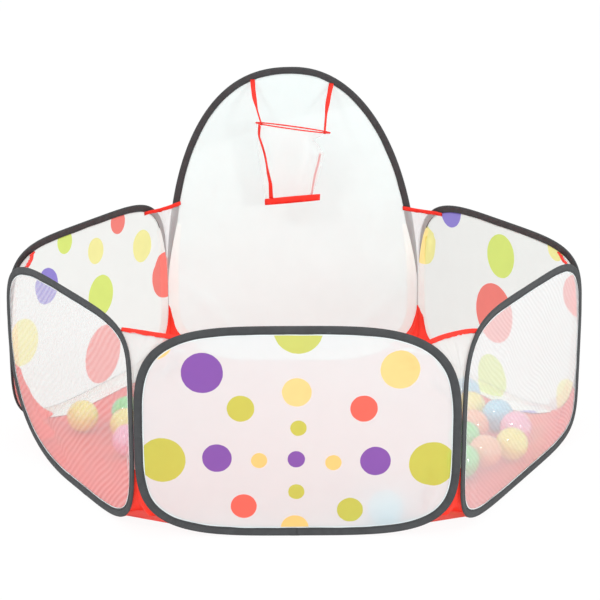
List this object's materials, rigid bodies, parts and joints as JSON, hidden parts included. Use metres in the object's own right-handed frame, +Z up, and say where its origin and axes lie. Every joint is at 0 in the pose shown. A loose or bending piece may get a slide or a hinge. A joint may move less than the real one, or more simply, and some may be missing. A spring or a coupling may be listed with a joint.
{
  "type": "ball pit",
  "caption": "Six-sided pop-up play pit: fabric and mesh panels on folding wire hoops, an arched back panel with a small basketball hoop, and loose play balls.",
  "frame": {"origin": "on the ground below the middle of the pit", "axes": "+Z up, front towards -Y, +X to the right seen from the front"},
  "size_m": [1.2016, 1.0462, 0.702],
  "materials": {
    "edging": "woven charcoal tape",
    "dotted_cloth": "white polyester with printed dots",
    "plain_cloth": "thin white polyester",
    "mesh_cloth": "sheer white mesh",
    "red_cloth": "red polyester",
    "spring_steel": "drawn spring wire",
    "ball_yellow": "glossy translucent",
    "ball_lemon": "glossy translucent",
    "ball_green": "glossy translucent",
    "ball_mint": "glossy translucent",
    "ball_pink": "glossy translucent",
    "ball_blue": "glossy translucent",
    "ball_sky": "glossy translucent",
    "ball_orange": "glossy translucent",
    "ball_apricot": "glossy translucent"
  },
  "bodies": {
    "back_panel": {"back_sheet": "plain_cloth", "back_edging": "edging", "back_wire": "spring_steel", "floor_sheet": "red_cloth", "gusset_back_right_upper": "mesh_cloth", "binding_back_right": "red_cloth", "gusset_back_right_lower": "red_cloth", "gusset_back_left_upper": "mesh_cloth", "binding_back_left": "red_cloth", "gusset_back_left_lower": "red_cloth", "strap_left": "red_cloth", "strap_right": "red_cloth"},
    "back_right_panel": {"back_right_sheet": "dotted_cloth", "back_right_edging": "edging", "back_right_wire": "spring_steel", "gusset_right_upper": "mesh_cloth", "binding_right": "red_cloth", "gusset_right_lower": "red_cloth"},
    "front_right_panel": {"front_right_sheet": "mesh_cloth", "front_right_edging": "edging", "front_right_wire": "spring_steel", "gusset_front_right_upper": "mesh_cloth", "binding_front_right": "red_cloth", "gusset_front_right_lower": "red_cloth"},
    "front_panel": {"front_sheet": "dotted_cloth", "front_edging": "edging", "front_wire": "spring_steel"},
    "back_left_panel": {"back_left_sheet": "dotted_cloth", "back_left_edging": "edging", "back_left_wire": "spring_steel", "gusset_left_upper": "mesh_cloth", "binding_left": "red_cloth", "gusset_left_lower": "red_cloth"},
    "front_left_panel": {"front_left_sheet": "mesh_cloth", "front_left_edging": "edging", "front_left_wire": "spring_steel", "gusset_front_left_upper": "mesh_cloth", "binding_front_left": "red_cloth", "gusset_front_left_lower": "red_cloth"},
    "hoop": {"hoop_rim": "red_cloth", "hoop_net": "mesh_cloth", "hoop_hem": "red_cloth"},
    "ball_left_yellow": {"ball_left_yellow": "ball_yellow"},
    "ball_left_green": {"ball_left_green": "ball_green"},
    "ball_left_lemon": {"ball_left_lemon": "ball_lemon"},
    "ball_left_pink": {"ball_left_pink": "ball_pink"},
    "ball_right_lemon": {"ball_right_lemon": "ball_lemon"},
    "ball_right_blue": {"ball_right_blue": "ball_blue"},
    "ball_right_orange": {"ball_right_orange": "ball_orange"},
    "ball_right_pink": {"ball_right_pink": "ball_pink"},
    "ball_right_green": {"ball_right_green": "ball_green"},
    "ball_right_yellow": {"ball_right_yellow": "ball_yellow"},
    "ball_right_apricot": {"ball_right_apricot": "ball_apricot"},
    "ball_right_mint": {"ball_right_mint": "ball_mint"},
    "ball_right_sky": {"ball_right_sky": "ball_sky"},
    "ball_front_sky": {"ball_front_sky": "ball_sky"}
  },
  "joints": [
    {"name": "fold", "type": "hinge", "parent": "back_panel", "child": "back_right_panel", "pos_m": [0.3, 0.51962, 0.2], "axis": [0, 0, 1], "range_deg": [0, 112], "deforming": ["gusset_back_right_upper", "binding_back_right", "gusset_back_right_lower", "floor_sheet"]},
    {"name": "fold_right", "type": "hinge", "parent": "back_right_panel", "child": "front_right_panel", "pos_m": [0.59654, 0, 0.2], "axis": [0, 0, -1], "range_deg": [0, 112], "deforming": ["gusset_right_upper", "binding_right", "gusset_right_lower"]},
    {"name": "fold_front_right", "type": "hinge", "parent": "front_right_panel", "child": "front_panel", "pos_m": [0.3, -0.51962, 0.2], "axis": [0, 0, 1], "range_deg": [0, 112], "deforming": ["gusset_front_right_upper", "binding_front_right", "gusset_front_right_lower"]},
    {"name": "fold_back_left", "type": "hinge", "parent": "back_panel", "child": "back_left_panel", "pos_m": [-0.29827, 0.51662, 0.2], "axis": [0, 0, 1], "range_deg": [0, 112], "deforming": ["gusset_back_left_upper", "binding_back_left", "gusset_back_left_lower"]},
    {"name": "fold_left", "type": "hinge", "parent": "back_left_panel", "child": "front_left_panel", "pos_m": [-0.6, 0, 0.2], "axis": [0, 0, -1], "range_deg": [0, 112], "deforming": ["gusset_left_upper", "binding_left", "gusset_left_lower", "gusset_front_left_upper", "binding_front_left", "gusset_front_left_lower"]},
    {"name": "hoop_raise", "type": "hinge", "parent": "back_panel", "child": "hoop", "pos_m": [-0.00185, 0.51641, 0.56483], "axis": [-0.9903, 0, 0.1392], "range_deg": [0, 70], "deforming": ["strap_left", "strap_right"]},
    {"name": "lift_left_yellow", "type": "slide", "parent": "back_left_panel", "child": "ball_left_yellow", "axis": [0, 0, 1], "range_m": [0, 0.98]},
    {"name": "lift_left_green", "type": "slide", "parent": "back_left_panel", "child": "ball_left_green", "axis": [0, 0, 1], "range_m": [0, 0.98]},
    {"name": "lift_left_lemon", "type": "slide", "parent": "back_left_panel", "child": "ball_left_lemon", "axis": [0, 0, 1], "range_m": [0, 0.98]},
    {"name": "lift_left_pink", "type": "slide", "parent": "back_left_panel", "child": "ball_left_pink", "axis": [0, 0, 1], "range_m": [0, 0.98]},
    {"name": "lift_right_lemon", "type": "slide", "parent": "back_panel", "child": "ball_right_lemon", "axis": [0, 0, 1], "range_m": [0, 0.69]},
    {"name": "lift_right_blue", "type": "slide", "parent": "back_panel", "child": "ball_right_blue", "axis": [0, 0, 1], "range_m": [0, 0.69]},
    {"name": "lift_right_orange", "type": "slide", "parent": "back_panel", "child": "ball_right_orange", "axis": [0, 0, 1], "range_m": [0, 0.69]},
    {"name": "lift_right_pink", "type": "slide", "parent": "back_panel", "child": "ball_right_pink", "axis": [0, 0, 1], "range_m": [0, 0.69]},
    {"name": "lift_right_green", "type": "slide", "parent": "back_panel", "child": "ball_right_green", "axis": [0, 0, 1], "range_m": [0, 0.69]},
    {"name": "lift_right_yellow", "type": "slide", "parent": "back_panel", "child": "ball_right_yellow", "axis": [0, 0, 1], "range_m": [0, 0.69]},
    {"name": "lift_right_apricot", "type": "slide", "parent": "back_panel", "child": "ball_right_apricot", "axis": [0, 0, 1], "range_m": [0, 0.69]},
    {"name": "lift_right_mint", "type": "slide", "parent": "back_panel", "child": "ball_right_mint", "axis": [0, 0, 1], "range_m": [0, 0.69]},
    {"name": "lift_right_sky", "type": "slide", "parent": "back_panel", "child": "ball_right_sky", "axis": [0, 0, 1], "range_m": [0, 0.69]},
    {"name": "lift_front_sky", "type": "slide", "parent": "front_panel", "child": "ball_front_sky", "axis": [0, 0, 1], "range_m": [0, 0.98]}
  ],
  "couplings": [
    {"joint": "fold_right", "follows": "fold", "ratio": 1},
    {"joint": "fold_front_right", "follows": "fold", "ratio": 1},
    {"joint": "fold_back_left", "follows": "fold", "ratio": 1},
    {"joint": "fold_left", "follows": "fold", "ratio": 1},
    {"joint": "lift_left_yellow", "follows": "fold", "m_per_rad": 0.5},
    {"joint": "lift_left_green", "follows": "fold", "m_per_rad": 0.5},
    {"joint": "lift_left_lemon", "follows": "fold", "m_per_rad": 0.5},
    {"joint": "lift_left_pink", "follows": "fold", "m_per_rad": 0.5},
    {"joint": "lift_right_lemon", "follows": "fold", "m_per_rad": 0.35},
    {"joint": "lift_right_blue", "follows": "fold", "m_per_rad": 0.35},
    {"joint": "lift_right_orange", "follows": "fold", "m_per_rad": 0.35},
    {"joint": "lift_right_pink", "follows": "fold", "m_per_rad": 0.35},
    {"joint": "lift_right_green", "follows": "fold", "m_per_rad": 0.35},
    {"joint": "lift_right_yellow", "follows": "fold", "m_per_rad": 0.35},
    {"joint": "lift_right_apricot", "follows": "fold", "m_per_rad": 0.35},
    {"joint": "lift_right_mint", "follows": "fold", "m_per_rad": 0.35},
    {"joint": "lift_right_sky", "follows": "fold", "m_per_rad": 0.35},
    {"joint": "lift_front_sky", "follows": "fold", "m_per_rad": 0.5}
  ]
}
